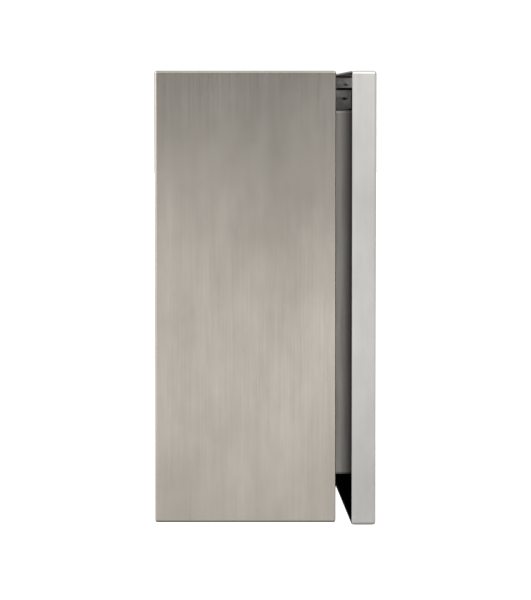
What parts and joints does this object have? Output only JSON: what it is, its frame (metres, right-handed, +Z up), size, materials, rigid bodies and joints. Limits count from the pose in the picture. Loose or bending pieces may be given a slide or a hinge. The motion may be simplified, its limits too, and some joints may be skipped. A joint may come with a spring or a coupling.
{
  "type": "standpipe cabinet",
  "caption": "Wall-hung stainless cabinet with a gasketed side-hinged pan door standing ajar, a cam lock, and an angle hose valve with handwheel and outlet cap on a riser nipple.",
  "frame": {"origin": "centre of the back panel's outer face, where the cabinet meets the wall", "axes": "+Z up, the door faces -Y, +Y into the wall; the hinges are on the +X side and the lock on the -X side"},
  "size_m": [0.4574, 0.2245, 0.4596],
  "materials": {
    "stainless": "vertically brushed, semi-bright",
    "foam": "matt closed-cell foam",
    "rubber": "matt moulded rubber",
    "chrome": "bright plated",
    "zinc_steel": "zinc plated, satin",
    "cast_brass": "cast, with machined faces",
    "packing_fibre": "matt pressed fibre",
    "red_enamel": "gloss enamel on cast iron"
  },
  "bodies": {
    "root": {"cabinet_body": "stainless", "door_collar": "stainless", "lock_keeper": "stainless", "riser_grommet": "rubber", "hinge_arm_upper": "stainless", "hinge_pin_upper": "zinc_steel", "hinge_clip_upper": "zinc_steel", "hinge_screw_upper_a": "zinc_steel", "hinge_screw_upper_b": "zinc_steel", "hinge_arm_lower": "stainless", "hinge_pin_lower": "zinc_steel", "hinge_clip_lower": "zinc_steel", "hinge_screw_lower_a": "zinc_steel", "hinge_screw_lower_b": "zinc_steel", "riser_nipple": "zinc_steel", "clamp_bracket": "zinc_steel", "clamp_u_bolt": "zinc_steel", "clamp_nut_left": "zinc_steel", "clamp_nut_right": "zinc_steel", "valve_body": "cast_brass", "seat_ring": "cast_brass", "bonnet_gasket": "packing_fibre", "bonnet": "cast_brass", "packing_ring": "packing_fibre", "packing_nut": "cast_brass"},
    "door": {"door_pan": "stainless", "door_gasket": "foam", "door_bottom_seal": "foam", "lock_housing": "chrome", "lock_nut": "zinc_steel", "hinge_pad_upper": "rubber", "hinge_pad_lower": "rubber", "hinge_bracket_upper": "stainless", "hinge_bracket_lower": "stainless"},
    "lock_barrel": {"lock_core": "chrome", "lock_tongue": "zinc_steel", "tongue_screw": "zinc_steel"},
    "valve_disc": {"disc_holder": "cast_brass", "disc_washer": "rubber"},
    "wheel": {"valve_stem": "cast_brass", "handwheel": "red_enamel", "handwheel_nut": "zinc_steel"},
    "cap_seal": {"cap_gasket": "rubber"},
    "cap": {"outlet_cap": "cast_brass"}
  },
  "joints": [
    {"name": "door_hinge", "type": "hinge", "parent": "root", "child": "door", "pos_m": [0.2205, -0.202, 0], "axis": [0, 0, 1], "range_deg": [-1.5, 113.5]},
    {"name": "lock_turn", "type": "hinge", "parent": "door", "child": "lock_barrel", "pos_m": [-0.16442, -0.21008, 0], "axis": [-0.0262, 0.9997, 0], "range_deg": [0, 90]},
    {"name": "stem_rise", "type": "slide", "parent": "root", "child": "valve_disc", "axis": [0, 0, 1], "range_m": [0, 0.018]},
    {"name": "wheel_turn", "type": "hinge", "parent": "valve_disc", "child": "wheel", "pos_m": [0.06, -0.08, 0.064], "axis": [0, 0, 1], "range_deg": [0, 1080]},
    {"name": "cap_travel", "type": "slide", "parent": "root", "child": "cap_seal", "axis": [-1, 0, 0], "range_m": [0, 0.0238]},
    {"name": "cap_turn", "type": "hinge", "parent": "cap_seal", "child": "cap", "pos_m": [-0.032, -0.08, -0.06], "axis": [-1, 0, 0], "range_deg": [0, 2520]}
  ],
  "couplings": [
    {"joint": "stem_rise", "follows": "wheel_turn", "m_per_rad": 0.00095493},
    {"joint": "cap_travel", "follows": "cap_turn", "m_per_rad": 0.00053885}
  ]
}
